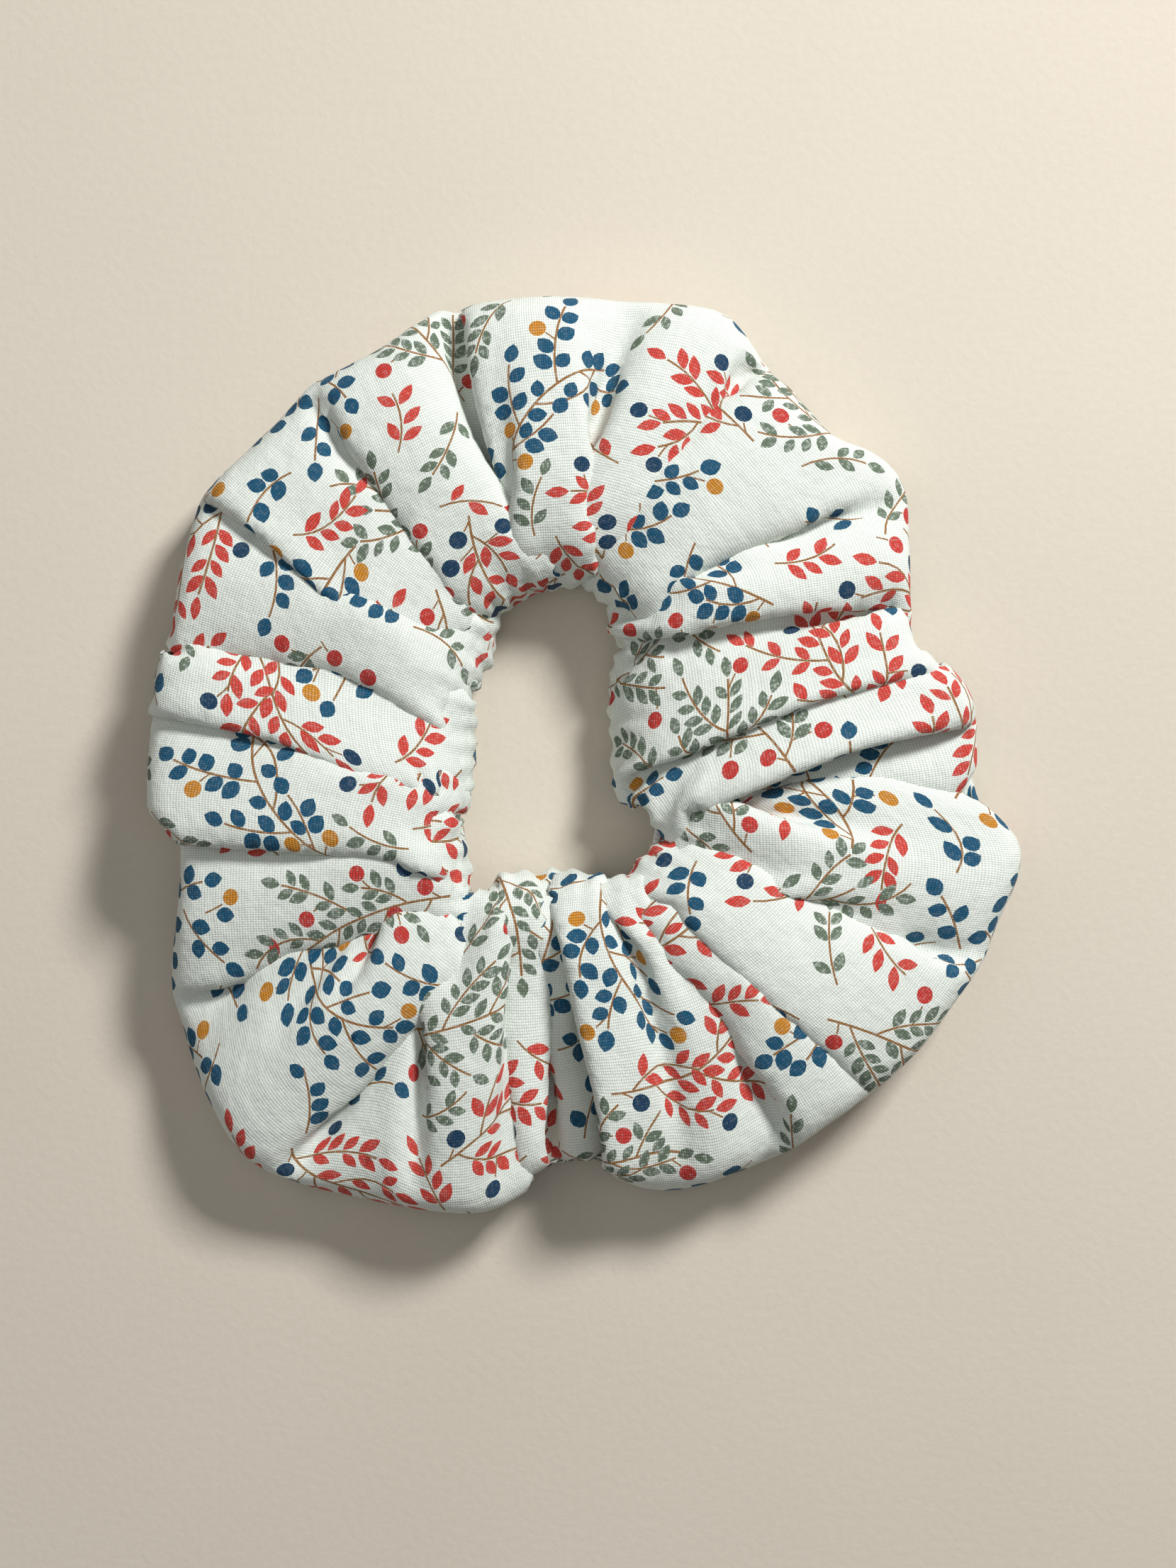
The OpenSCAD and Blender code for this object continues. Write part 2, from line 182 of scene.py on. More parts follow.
def lay_out(h, rimback=5.0, slack=1.03):
    """The gathered tube before it is relaxed: panels arched between the grooves, and where each groove is to lie."""
    K = len(FOLDS)
    P = np.array([g[:5] for g in FOLDS], float)
    d = P[:, 1] - P[:, 0]
    d /= np.linalg.norm(d, axis=1)[:, None]
    P[:, 0] += d * rimback
    lean = np.array([g[5] for g in FOLDS], float)
    ov = np.array([g[6] for g in FOLDS], float)
    dep = np.array([g[7] for g in FOLDS], float)
    val = np.array([g[8] for g in FOLDS], float)
    soft = np.array([g[9] for g in FOLDS], float)
    Nv = 4 * int(round(TUBE / h / 4))
    hv = TUBE / Nv

    def line(rx):
        t = np.clip(rx, 0, 1) * 4
        i = np.clip(t.astype(int), 0, 3)
        f = (t - i)[None, :, None]
        Q = np.concatenate([2 * P[:, :1] - P[:, 1:2], P, 2 * P[:, -1:] - P[:, -2:-1]], 1)
        p0, p1, p2, p3 = Q[:, i], Q[:, i + 1], Q[:, i + 2], Q[:, i + 3]
        return 0.5 * ((2 * p1) + (-p0 + p2) * f + (2 * p0 - 5 * p1 + 4 * p2 - p3) * f * f + (-p0 + 3 * p1 - 3 * p2 + p3) * f ** 3)

    phi = 2 * np.pi * np.arange(Nv) / Nv      # round the tube: 0 at the opening, pi/2 on top, pi at the rim
    rx = (1 - np.cos(phi)) / 2
    bot = phi > np.pi
    Lv = line(rx)
    Ls = P[:, 0][:, None] * (1 - rx)[None, :, None] + P[:, 4][:, None] * rx[None, :, None]
    wb = np.where(bot, np.sin(phi - np.pi), 0.0)[None, :, None]
    Lv = Lv * (1 - wb) + Ls * wb
    o3 = np.stack([np.interp(rx, [0, 0.12, 0.5, 1], [0.3 * o[0], o[0], o[1], o[2]]) for o in ov])
    o3 = o3 * np.where(bot, 0.125 * (1 + np.cos(phi - np.pi)), 1)[None]
    T = np.roll(Lv, -1, 0) - np.roll(Lv, 1, 0)
    T /= np.linalg.norm(T, axis=2)[..., None] + 1e-6
    sg = np.sign(lean)[:, None]
    L = Lv - T * (sg * o3)[..., None] * 0.5
    Ln = np.roll(L, -1, 0)
    span = np.linalg.norm(Ln - L, axis=2)
    vspan = np.linalg.norm(np.roll(Lv, -1, 0) - Lv, axis=2)
    top = (phi >= 0.35 * np.pi) & (phi <= np.pi)
    om = ov.max(1)
    more = om + 1.2 * (om > 0)
    W = slack * vspan[:, top].max(1) + more + np.roll(more, -1)
    full = W.sum()
    Nu = 8 * int(round(full / h / 8))
    hu = full / Nu
    U = np.concatenate([[0], np.cumsum(W)])
    u = np.arange(Nu) * hu
    k = np.clip(np.searchsorted(U, u, "right") - 1, 0, K - 1)
    p = (u - U[k]) / W[k]
    k1 = (k + 1) % K
    A, B, Sp = L[k], Ln[k], span[k]
    x, n = arch(Sp / W[k][:, None], np.repeat(p[:, None], Nv, 1))
    n = n * W[k][:, None]
    sp, cp, topz = np.sin(phi), np.cos(phi), 16.0
    pp = p[:, None]
    dk = dep[k][:, None] * (1 - pp) + dep[k1][:, None] * pp
    z = np.where(sp >= 0, 8 + (topz - 8) * np.abs(sp) ** 0.8, 8 - 5.5 * np.abs(sp) ** 0.6)[None, :] \
        - np.where(sp > 0, sp, 0)[None, :] * (dk * (0.35 + 0.65 * rx)[None, :] + val[k][:, None] * 3.0)
    base = A + (B - A) * x[..., None]
    Tt = (B - A) / np.maximum(np.linalg.norm(B - A, axis=2), 1e-6)[..., None]
    out = np.stack([Tt[..., 1], -Tt[..., 0]], -1)
    nn = np.minimum(n, 13) * (1 - 0.8 * val[k][:, None] * np.clip(sp, 0, 1)[None, :])
    rim = np.clip(1 - rx * 2.5, 0, 1)[None, :]
    sh = (lean[k][:, None] * (1 - pp) + lean[k1][:, None] * pp) * np.where(sp > 0, 1, 0.2)[None, :]
    wig = np.sin(2 * np.pi * u / 9.5 + 2.0 * np.sin(u * 0.11) + 1.3)[:, None] * rim * 1.6
    amp = nn * (1 - 0.30 * rim) + wig * np.sin(np.pi * pp)
    shift = sh * nn * np.clip(Sp / 16, 0.3, 1) * 0.8
    xy = base - out * (amp * cp[None, :])[..., None] + Tt * shift[..., None]
    X = np.concatenate([xy, (z + amp * sp[None, :])[..., None]], 2)
    guides = []
    for q in range(K):
        du = (u - U[q] + full / 2) % full - full / 2
        w = np.exp(-(du / 1.8) ** 2)
        c = np.where(w > 0.05)[0]
        free = (1 - rx) ** 1.5 * soft[q] + (1 - soft[q])
        zt = 8 + (topz - 8) * np.clip(sp, 0, 1) ** 0.8 - np.clip(sp, 0, 1) * dep[q] * (0.35 + 0.65 * rx) - 2.0 * (om[q] > 0) * np.clip(sp, 0, 1)
        guides.append((c, w[c], L[q], zt, (1.0 if om[q] > 0 or dep[q] >= 2 else 0.45) * free))
        if om[q] > 0:
            ue = U[q] - np.sign(lean[q]) * (om[q] + 1.0)
            du = (u - ue + full / 2) % full - full / 2
            w = np.exp(-(du / 1.5) ** 2)
            c = np.where(w > 0.05)[0]
            zt = 8 + (topz - 6.5) * np.clip(sp, 0, 1) ** 0.8 if om[q] > 3 else None      # a wide overlap stands proud
            guides.append((c, w[c], Lv[q] + T[q] * (sg[q] * o3[q] * 0.5)[:, None] * 0.5, zt, np.ones(Nv)))
    wd = np.linalg.norm(base[:, Nv // 2] - base[:, 0], axis=1) + rimback
    kk = np.exp(-0.5 * (np.arange(-60, 61) / 18.0) ** 2)
    kk /= kk.sum()
    wd = np.convolve(np.concatenate([wd[-60:], wd, wd[:60]]), kk, "valid")
    cs = np.clip(2 * wd + 16, 102, 122) / TUBE
    return dict(X=X, h=(hu, hv), Nu=Nu, Nv=Nv, p=p, phi=phi, rx=rx, full=full, U=U, cs=cs, guides=guides, mid=base.reshape(-1, 2).mean(0))


# ---------------------------------------------------------------- the cloth relaxing
def links(Nu, Nv):
    I, J = np.meshgrid(np.arange(Nu), np.arange(Nv), indexing="ij")
    at = lambda i, j: ((i % Nu) * Nv + (j % Nv)).ravel()

    def pick(di, dj, mask):
        m = mask.ravel()
        return at(I, J)[m], at(I + di, J + dj)[m]

    return dict(
        u=[pick(1, 0, I % 2 == c) for c in (0, 1)],
        v=[pick(0, 1, J % 2 == c) for c in (0, 1)],
        s=[pick(1, 1, I % 2 == c) for c in (0, 1)] + [pick(1, -1, I % 2 == c) for c in (0, 1)],
        bu=[pick(2, 0, (I // 2) % 2 == c) for c in (0, 1)],
        bv=[pick(0, 2, (J // 2) % 2 == c) for c in (0, 1)],
        cu=[pick(4, 0, (I // 4) % 2 == c) for c in (0, 1)],
    )


def near_pairs(X, d, Nu, Nv):
    """points of the cloth within d of each other that aren't neighbours in it"""
    n = len(X)
    c = np.floor((X - X.min(0)) / d).astype(np.int64) + 1
    dim = c.max(0) + 2
    key = (c[:, 0] * dim[1] + c[:, 1]) * dim[2] + c[:, 2]
    o = np.argsort(key, kind="stable")
    ks = key[o]
    A, B = [], []

    def expand(lo, cnt):
        src = np.repeat(np.arange(n), cnt)
        return src, np.arange(cnt.sum()) - np.repeat(np.cumsum(cnt) - cnt, cnt) + np.repeat(lo, cnt)

    s, t = expand(np.arange(n) + 1, np.searchsorted(ks, ks, "right") - np.arange(n) - 1)
    A.append(s), B.append(t)
    for a, b, e in [(0, 0, 1), (0, 1, -1), (0, 1, 0), (0, 1, 1)] + [(1, a, b) for a in (-1, 0, 1) for b in (-1, 0, 1)]:
        k2 = ks + (a * dim[1] + b) * dim[2] + e
        lo = np.searchsorted(ks, k2, "left")
        s, t = expand(lo, np.searchsorted(ks, k2, "right") - lo)
        A.append(s), B.append(t)
    A, B = o[np.concatenate(A)], o[np.concatenate(B)]
    di = np.abs(A // Nv - B // Nv)
    dj = np.abs(A % Nv - B % Nv)
    ok = np.maximum(np.minimum(di, Nu - di), np.minimum(dj, Nv - dj)) > 1
    A, B = A[ok], B[ok]
    D = X[A] - X[B]
    ok = (D * D).sum(1) < d * d
    return A[ok], B[ok]


def relax(b, iters, d, grav=0.008, infl=0.012, guide=0.12, late=0.8, kb=0.05, ks=0.2, mom=0.9, hole=0.6, oc=0.12):
    Nu, Nv = b["Nu"], b["Nv"]
    hu, hv = b["h"]
    X = b["X"].reshape(-1, 3).astype(np.float32).copy()
    V = np.zeros_like(X)
    S = links(Nu, Nv)
    cs = np.repeat(b["cs"].astype(np.float32), Nv)
    RV = [cs[i] * hv for i, j in S["v"]]
    RB = [cs[i] * 2 * hv for i, j in S["bv"]]
    RS = [np.hypot(hu, hv * 0.5 * (cs[i] + cs[j])) for i, j in S["s"]]
    p = np.repeat(b["p"], Nv)
    phi = np.tile(b["phi"], Nu)
    ph = b["phi"]
    topw = np.clip(np.sin(ph) * 3, 0, 1) * np.clip((b["rx"] - 0.04) / 0.1, 0, 1) \
        + np.where(ph > np.pi, 0.3 * np.sin(ph - np.pi), 0) + np.exp(-((ph - np.pi) / 0.3) ** 2) * 0.5
    outer = np.exp(-((phi - np.pi) / 0.35) ** 2) * np.exp(-((p - 0.5) / 0.3) ** 2)
    above = (phi > 0.03 * np.pi) & (phi < 0.97 * np.pi)
    below = (phi > 1.03 * np.pi) & (phi < 1.97 * np.pi)
    n = len(X)

    def pull(i, j, r, k, push_only=False):
        a, c = X[i], X[j]
        D = c - a
        L = np.sqrt((D * D).sum(1)) + 1e-6
        e = (L - r) / L * (0.5 * k)
        if push_only:
            e = np.minimum(e, 0)
        D *= e[:, None]
        X[i] = a + D
        X[j] = c - D

    A = B = None
    sgn = 1.0
    for it in range(iters):
        f = it / iters
        Xp = X.copy()
        G = X.reshape(Nu, Nv, 3)
        nr = np.cross(np.roll(G, -1, 0) - np.roll(G, 1, 0), np.roll(G, -1, 1) - np.roll(G, 1, 1)).reshape(-1, 3)
        nr /= np.sqrt((nr * nr).sum(1))[:, None] + 1e-6
        if it == 0:
            sgn = float(np.sign(nr[np.abs(phi - np.pi / 2) < 0.3, 2].mean()))
        X += V * mom
        X += nr * (sgn * infl)
        X[:, 2] -= grav
        g = guide * (1 - f) + guide * late * f
        Gx = X.reshape(Nu, Nv, 3)
        for c, w, txy, tz, st in b["guides"]:
            ww = (w[:, None] * (topw * st)[None, :] * g).astype(np.float32)
            sub = Gx[c]
            sub[..., :2] += (txy[None] - sub[..., :2]) * ww[..., None]
            if tz is not None:
                sub[..., 2] += (tz[None] - sub[..., 2]) * ww * 0.6
            Gx[c] = sub
        for c in (0, 1):
            pull(*S["bu"][c], 2 * hu, kb, True)
            pull(*S["bv"][c], RB[c], kb, True)
            pull(*S["cu"][c], 4 * hu * 0.55, 0.15, True)
        for c in range(4):
            pull(*S["s"][c], RS[c], ks)
        for rep in range(2):
            for c in (0, 1):
                pull(*S["u"][c], hu, 1.0)
            for c in (0, 1):
                pull(*S["v"][c], RV[c], 1.0)
        dd, r, R = radial(R_OUT, MID, X[:, :2])          # the outline
        X[:, :2] -= dd / r[:, None] * (np.maximum(r - R, 0) * oc)[:, None]
        X[:, :2] += dd / r[:, None] * (np.clip(R - r - 0.3, 0, 3) * outer * g * 2.2)[:, None]
        dd, r, R = radial(R_IN, HOLE_MID, X[:, :2])      # the opening
        X[:, :2] += dd / r[:, None] * (np.maximum(R - r, 0) * hole * 0.6)[:, None]
        ex = np.abs(X[:, 0] - EL_C[0])                   # the elastic inside
        ey = np.maximum(np.abs(X[:, 1] - EL_C[1]) - EL_S, 0)
        far = np.abs(np.hypot(ex, ey) - EL_R)
        roof = EL_HI + 0.8 - 0.85 * np.maximum(far - 1.0, 0)
        m = above & (far < 6.0) & (X[:, 2] < roof)
        X[m, 2] += np.minimum(roof[m] - X[m, 2], 1.5) * 0.3
        under = EL_LO - 0.8 + 0.85 * np.maximum(far - 1.0, 0)
        m = below & (far < 4.0) & (X[:, 2] > under)
        X[m, 2] += np.maximum(under[m] - X[m, 2], -1.5) * 0.3
        if it % 8 == 0:
            A, B = near_pairs(X, d + 0.9, Nu, Nv)
        if len(A):
            D = X[A] - X[B]
            L = np.sqrt((D * D).sum(1)) + 1e-6
            m = L < d
            a, bb = A[m], B[m]
            Dm = D[m] * ((d - L[m]) / L[m] * 0.35)[:, None]
            for c in range(3):
                X[:, c] += np.bincount(a, Dm[:, c], n).astype(np.float32) - np.bincount(bb, Dm[:, c], n).astype(np.float32)
        np.maximum(X[:, 2], 0.25, out=X[:, 2])
        V = X - Xp
        vl = np.sqrt((V * V).sum(1))
        V *= np.minimum(1, 0.4 / (vl + 1e-9))[:, None]
    return X.reshape(Nu, Nv, 3).astype(float), sgn


lay = lay_out(1.4)
say("cloth", lay["Nu"], "x", lay["Nv"], "length %.1f mm" % lay["full"])
GRID, SIGN = relax(lay, 440, d=0.9)
say("relaxed, height %.1f mm" % GRID[..., 2].max())
LENGTH = float(lay["full"])
U0 = float(lay["U"][SEAM_FOLD])

# ---------------------------------------------------------------- points on the cloth
def smooth_noise(x, y, seed):
    """soft value noise, one bump per unit"""
    xi, yi = np.floor(x).astype(np.int64), np.floor(y).astype(np.int64)
    fx, fy = x - xi, y - yi
    fx, fy = fx * fx * (3 - 2 * fx), fy * fy * (3 - 2 * fy)

    def h(a, b):
        k = (a * 374761393 + b * 668265263 + seed * 974711) & 0x7FFFFFFF
        k = ((k ^ (k >> 13)) * 1274126177) & 0x7FFFFFFF
        return ((k ^ (k >> 16)) & 0xFFFF) / 32767.5 - 1

    return (h(xi, yi) * (1 - fx) + h(xi + 1, yi) * fx) * (1 - fy) + (h(xi, yi + 1) * (1 - fx) + h(xi + 1, yi + 1) * fx) * fy


def spline_w(f):
    g = 1 - f
    w = [g ** 3 / 6, (3 * f ** 3 - 6 * f ** 2 + 4) / 6, (3 * g ** 3 - 6 * g ** 2 + 4) / 6, f ** 3 / 6]
    d = [-g ** 2 / 2, (3 * f ** 2 - 4 * f) / 2, -(3 * g ** 2 - 4 * g) / 2, f ** 2 / 2]
    return w, d


def on_tube(u, v):
    """point and outward normal of the relaxed tube, u along it and v round it, in mm"""
    Nu, Nv = GRID.shape[:2]
    a, b = u / LENGTH * Nu, v / TUBE * Nv
    i, j = np.floor(a).astype(int), np.floor(b).astype(int)
    wa, da = spline_w(a - i)
    wb, db = spline_w(b - j)
    P = np.zeros((len(u), 3))
    Pu, Pv = P.copy(), P.copy()
    for m in range(4):
        for n in range(4):
            q = GRID[(i + m - 1) % Nu, (j + n - 1) % Nv]
            P += q * (wa[m] * wb[n])[:, None]
            Pu += q * (da[m] * wb[n])[:, None]
            Pv += q * (wa[m] * db[n])[:, None]
    N = np.cross(Pu, Pv) * SIGN
    return P, N / (np.linalg.norm(N, axis=1)[:, None] + 1e-9)


def bump01(x):
    x = np.clip(x, 0, 1)
    return x * x * (3 - 2 * x)


ALLOW_S, ALLOW_T = 8.0, 6.0      # turned in at each end of the strip, and along each long edge
_su = np.arange(0, LENGTH, 1.0)
_pc, _ = on_tube(_su + U0, np.full(len(_su), TUBE / 2))
_pa, _ = on_tube(_su + U0, np.full(len(_su), TUBE / 2 - 12))
_pb, _ = on_tube(_su + U0, np.full(len(_su), TUBE / 2 + 12))
_in = (_pa + _pb) / 2 - _pc
_k = np.exp(-0.5 * (np.arange(-12, 13) / 4.0) ** 2)
_k /= _k.sum()
_soft = lambda A: np.stack([np.convolve(np.concatenate([A[-12:, c], A[:, c], A[:12, c]]), _k, "valid") for c in range(3)], 1)
_in = _soft(_in)
_in /= np.linalg.norm(_in, axis=1)[:, None]
_up = _soft(_pa - _pb)
_up -= _in * (_up * _in).sum(1)[:, None]
_up /= np.linalg.norm(_up, axis=1)[:, None]


def place(s, t):
    """point of the cut strip: s along it from the closing seam, t across it from the long seam"""
    s, t = np.asarray(s, float), np.asarray(t, float)
    back = s < 0
    ss = np.where(back, -s, s)
    tt = np.clip(t, 0, TUBE)
    P, N = on_tube(U0 + ss, TUBE / 2 + tt)
    edge = np.minimum(tt, TUBE - tt)                 # from the long seam
    rim = np.abs(tt - TUBE / 2)                      # from the edge of the opening
    # fine gathers where the cloth is drawn up on the elastic, and small creases everywhere
    g = 1 - bump01((rim - 2.0) / 13.0)
    ph = ss * 2 * np.pi / 3.1 + 1.9 * smooth_noise(ss / 9.0, rim / 14.0, 5) + 1.2 * smooth_noise(ss / 2.7, rim / 9.0, 6)
    lift = 0.48 * g * (np.sin(ph) * (0.75 + 0.35 * smooth_noise(ss / 6, rim / 8, 7)))
    lift += 0.17 * (smooth_noise(ss / 7.0, tt / 11.0, 1) * 0.6 + 0.4 * smooth_noise(ss / 3.6 + 9, tt / 5.2, 2))
    # the long seam is drawn in a little, the closing seam's lower end dips under the upper one
    lift -= 0.30 * np.exp(-(edge / 0.7) ** 2)
    lift -= 0.05 * np.cos(2 * np.pi * ss / 2.6) * np.exp(-(edge / 2.2) ** 2)
    under = np.where(back, -0.32 * bump01(-s / 0.5), -0.62 * bump01((s - LENGTH + 2.6) / 2.4))
    roll = np.where(~back & (s < 1.6), -0.10 * (1 - bump01(s / 1.6)), 0.0) + 0.16 * np.exp(-((s - 1.4) / 1.0) ** 2) * ~back
    P = P + N * (lift + under + roll)[:, None]
    # allowances of the long seam lie flat against each other inside
    turn = np.where(t < 0, -t, np.where(t > TUBE, t - TUBE, 0.0))
    if (turn > 0).any():
        m = turn > 0
        q = np.clip(ss[m] % LENGTH, 0, len(_su) - 1.001)
        i = q.astype(int)
        f = (q - i)[:, None]
        D = _in[i] * (1 - f) + _in[(i + 1) % len(_su)] * f
        Q = _up[i] * (1 - f) + _up[(i + 1) % len(_su)] * f
        side = np.where(t[m] < 0, -1.0, 1.0)
        P[m] += D * turn[m][:, None] + Q * (side * 0.22 * bump01(turn[m] / 0.6))[:, None]
    P[:, 2] = np.maximum(P[:, 2], 0.06)
    return P


# ---------------------------------------------------------------- the print
TILE = (92.0, 66.0)          # one repeat of the print, before it is enlarged
PRINT_SCALE = 1.15           # the sprigs are drawn small and enlarged by this
KINDS = {                    # leaf length, width, spacing along the stem, angle to the stem, gap
    "teardrop": (2.35, 1.75, 2.0, 48, 0.28),
    "lens":     (2.7, 1.3, 1.95, 40, 0.25),
    "slim":     (2.35, 1.2, 1.85, 42, 0.25),
}
DOT = {"teardrop": 1.15, "lens": 1.2, "slim": 1.15}   # berry radius


def sprig_tile(seed=4):
    """One repeat of the print: curved, forked stems with paired leaves and a few berries, kept clear of each other."""
    rnd = np.random.default_rng(seed)
    TW, TH = TILE
    leaves, dots, stems = [], [], []
    disc = []                 # (x, y, r, sprig) of everything printed, to keep things apart

    def clear(pts, r, own, gap, own_gap=None):
        if not disc:
            return True
        D = np.array([(d[0], d[1], d[2], d[3]) for d in disc])
        for x, y in pts:
            dx = np.abs((D[:, 0] - x + TW / 2) % TW - TW / 2)
            dy = np.abs((D[:, 1] - y + TH / 2) % TH - TH / 2)
            mine = (own_gap if own_gap is not None else gap) - np.where(D[:, 2] < 0.15, 0.45, 0.0)
            need = D[:, 2] + r + np.where(D[:, 3] == own, mine, gap)
            if (np.hypot(dx, dy) < need).any():
                return False
        return True

    def leaf(x, y, a, kind, own, size=1.0):
        ln, wd, _, _, _ = KINDS[kind]
        ln *= size
        wd *= size
        r = wd / 2
        c = [(x + math.cos(a) * q * ln, y + math.sin(a) * q * ln) for q in (0.3, 0.55, 0.8)]
        if not clear(c, r * 0.86, own, 0.5, 0.05):
            return False
        leaves.append((x, y, a, ln * 1.1, wd * 1.1, kind))
        disc.extend((px, py, r * 0.86, own) for px, py in c)
        return True

    def path(x, y, a, length, bend, step=0.65):
        P = [(x, y, a)]
        n = int(length / step)
        for i in range(n):
            a += bend * step
            x += math.cos(a) * step
            y += math.sin(a) * step
            P.append((x, y, a))
        return P

    def dress(P, kind, own, start, both=True):
        """leaves in pairs along a path, and one at its tip"""
        ln, wd, sp, ang, gap = KINDS[kind]
        step = 0.65
        pos = start
        n = 0
        side0 = rnd.choice((-1, 1))
        while pos < (len(P) - 1) * step - 0.8:
            x, y, a = P[int(pos / step)]
            for s in ((-1, 1) if both else (side0,)):
                b = a + s * math.radians(ang + rnd.uniform(-7, 7))
                off = gap + rnd.uniform(0, 0.15)
                x0 = x + math.cos(b) * off
                y0 = y + math.sin(b) * off
                if leaf(x0, y0, b, kind, own, rnd.uniform(0.86, 1.06)):
                    n += 1
            pos += sp * rnd.uniform(0.95, 1.12)
        x, y, a = P[-1]
        if leaf(x + math.cos(a) * 0.2, y + math.sin(a) * 0.2, a + rnd.uniform(-.15, .15), kind, own, rnd.uniform(0.92, 1.08)):
            n += 1
        return n

    # sprig feet on a jittered brick layout, the three kinds taking turns
    nx, ny = 5, 5
    for bx, by, br in ((20, 12, 3.6), (66, 30, 4.4), (38, 52, 3.8)):     # plain ground is left showing here
        disc.append((bx, by, br, -5))
    feet = []
    order = ["teardrop", "lens", "teardrop", "slim", "lens", "teardrop", "slim"]
    for j in range(ny):
        for i in range(nx):
            feet.append(((i + 0.5 * (j % 2)) * TW / nx + rnd.uniform(-2.5, 2.5), j * TH / ny + rnd.uniform(-2.5, 2.5), order[(3 * i + 5 * j) % 7]))
    head = rnd.uniform(0, 2 * math.pi)
    for own, (fx, fy, kind) in enumerate(feet):
        best = (-1,)
        for _ in range(7):
            head = rnd.uniform(0, 2 * math.pi)
            side = rnd.choice((-1, 1))
            bend = side * rnd.uniform(0.02, 0.06)
            q = 0
            for p in path(fx, fy, head, 25, bend):
                if not clear([(p[0], p[1])], 0.3, own, 2.5, -9):
                    break
                q += 1
            if q > best[0]:
                best = (q, head, side, bend)
        _, head, side, bend = best
        main = path(fx, fy, head, rnd.uniform(17, 25), bend)
        keep = []
        for p in main:
            if not clear([(p[0], p[1])], 0.3, own, 0.6, -9):
                break
            keep.append(p)
        if len(keep) < 12:
            continue
        main = keep
        stems.append((main, 0.17))
        # forks
        arms = []
        pos = rnd.uniform(2.2, 3.6)
        s = side
        while pos < len(main) * 0.65 - 3.5:
            x, y, a = main[int(pos / 0.65)]
            b = a + s * math.radians(rnd.uniform(42, 66))
            arm = path(x, y, b, rnd.uniform(6.5, 11.5), -s * rnd.uniform(0.03, 0.13))
            k2 = []
            for q, p in enumerate(arm):
                if q > 3 and not clear([(p[0], p[1])], 0.3, own, 0.6, 1.0):
                    break
                k2.append(p)
            if len(k2) > 6:
                arms.append((k2, s, pos))
            s = -s
            pos += rnd.uniform(2.6, 3.9)
        tot = 0
        for arm, s, pos in arms:
            stems.append((arm, 0.15))
            disc.extend((p[0], p[1], 0.1, own) for p in arm[2::2])
        disc.extend((p[0], p[1], 0.1, own) for p in main[::2])
        for arm, s, pos in arms:
            tot += dress(arm, kind, own, 2.2)
        tot += dress(main, kind, own, max(2.0, len(main) * 0.65 * 0.35))
        # berries on short stalks from the stems
        nb = 0
        tries = [(arm, rnd.uniform(0.15, 0.95)) for arm, _, _ in arms] + [(main, t) for t in (0.08, 0.3, 0.55, 0.97)]
        rnd.shuffle(tries)
        for P, t in tries:
            if nb >= 4:
                break
            x, y, a = P[int(t * (len(P) - 1))]
            for s in rnd.permutation([-1, 1]):
                for ang in (35, 60, 85):
                    b = a + s * math.radians(ang)
                    for q in (1.5, 2.0, 2.7):
                        r = DOT[kind] * rnd.uniform(0.93, 1.05)
                        cx, cy = x + math.cos(b) * (q + r), y + math.sin(b) * (q + r)
                        if clear([(cx, cy)], r, own, 0.5, 0.12):
                            dots.append((cx, cy, r, kind))
                            disc.append((cx, cy, r, own))
                            stems.append((path(x, y, b - s * 0.2, q, s * 0.2 / q, 0.5), 0.12))
                            nb += 1
                            break
                    else:
                        continue
                    break
                else:
                    continue
                break
    # small fill-in twigs where a gap is left between sprigs
    for tr in range(900):
        x, y = rnd.uniform(0, TW), rnd.uniform(0, TH)
        if not clear([(x, y)], 0.3, -1, 1.5):
            continue
        kind = order[rnd.integers(7)]
        a = rnd.uniform(0, 2 * math.pi)
        P = path(x, y, a, rnd.uniform(8, 11), rnd.choice((-1, 1)) * rnd.uniform(.05, .12))
        own = 1000 + tr
        if not all(clear([(p[0], p[1])], 0.3, own, 0.9) for p in P[::2]):
            continue
        stems.append((P, 0.14))
        disc.extend((p[0], p[1], 0.1, own) for p in P[::2])
        dress(P, kind, own, 1.6)
    return leaves, dots, stems


def outline(x, y, a, ln, wd, kind):
    """the leaf's edge, ten points from its foot round its tip"""
    if kind == "teardrop":
        t = [0, .10, .32, .58, .82, 1, .82, .58, .32, .10]
        w = [0, .55, .97, 1.0, .62, 0, -.62, -1.0, -.97, -.55]
    elif kind == "lens":
        t = [0, .14, .38, .64, .86, 1, .86, .64, .38, .14]
        w = [0, .52, .98, .92, .46, 0, -.46, -.92, -.98, -.52]
    else:
        t = [0, .14, .38, .64, .86, 1, .86, .64, .38, .14]
        w = [0, .55, 1.0, .95, .5, 0, -.5, -.95, -1.0, -.55]
    c, s = math.cos(a), math.sin(a)
    return [(x + c * q * ln - s * p * wd / 2, y + s * q * ln + c * p * wd / 2) for q, p in zip(t, w)]




def lin(r, g, b):
    return tuple(((c / 255) / 12.92 if c / 255 <= 0.04045 else ((c / 255 + 0.055) / 1.055) ** 2.4) for c in (r, g, b))


INK = {  # colour, and how well the ink covers the threads
    "teardrop": lin(8, 90, 124) + (0.99,),
    "lens": lin(230, 68, 54) + (0.98,),
    "slim": lin(98, 117, 92) + (0.935,),
    "d_teardrop": lin(224, 146, 26) + (0.98,),
    "d_lens": lin(10, 64, 98) + (0.99,),
    "d_slim": lin(218, 52, 44) + (0.98,),
    "stem": lin(168, 112, 50) + (0.97,),
}
RANK = {"stem": 1, "teardrop": 2, "lens": 2, "slim": 2, "d_teardrop": 3, "d_lens": 3, "d_slim": 3}


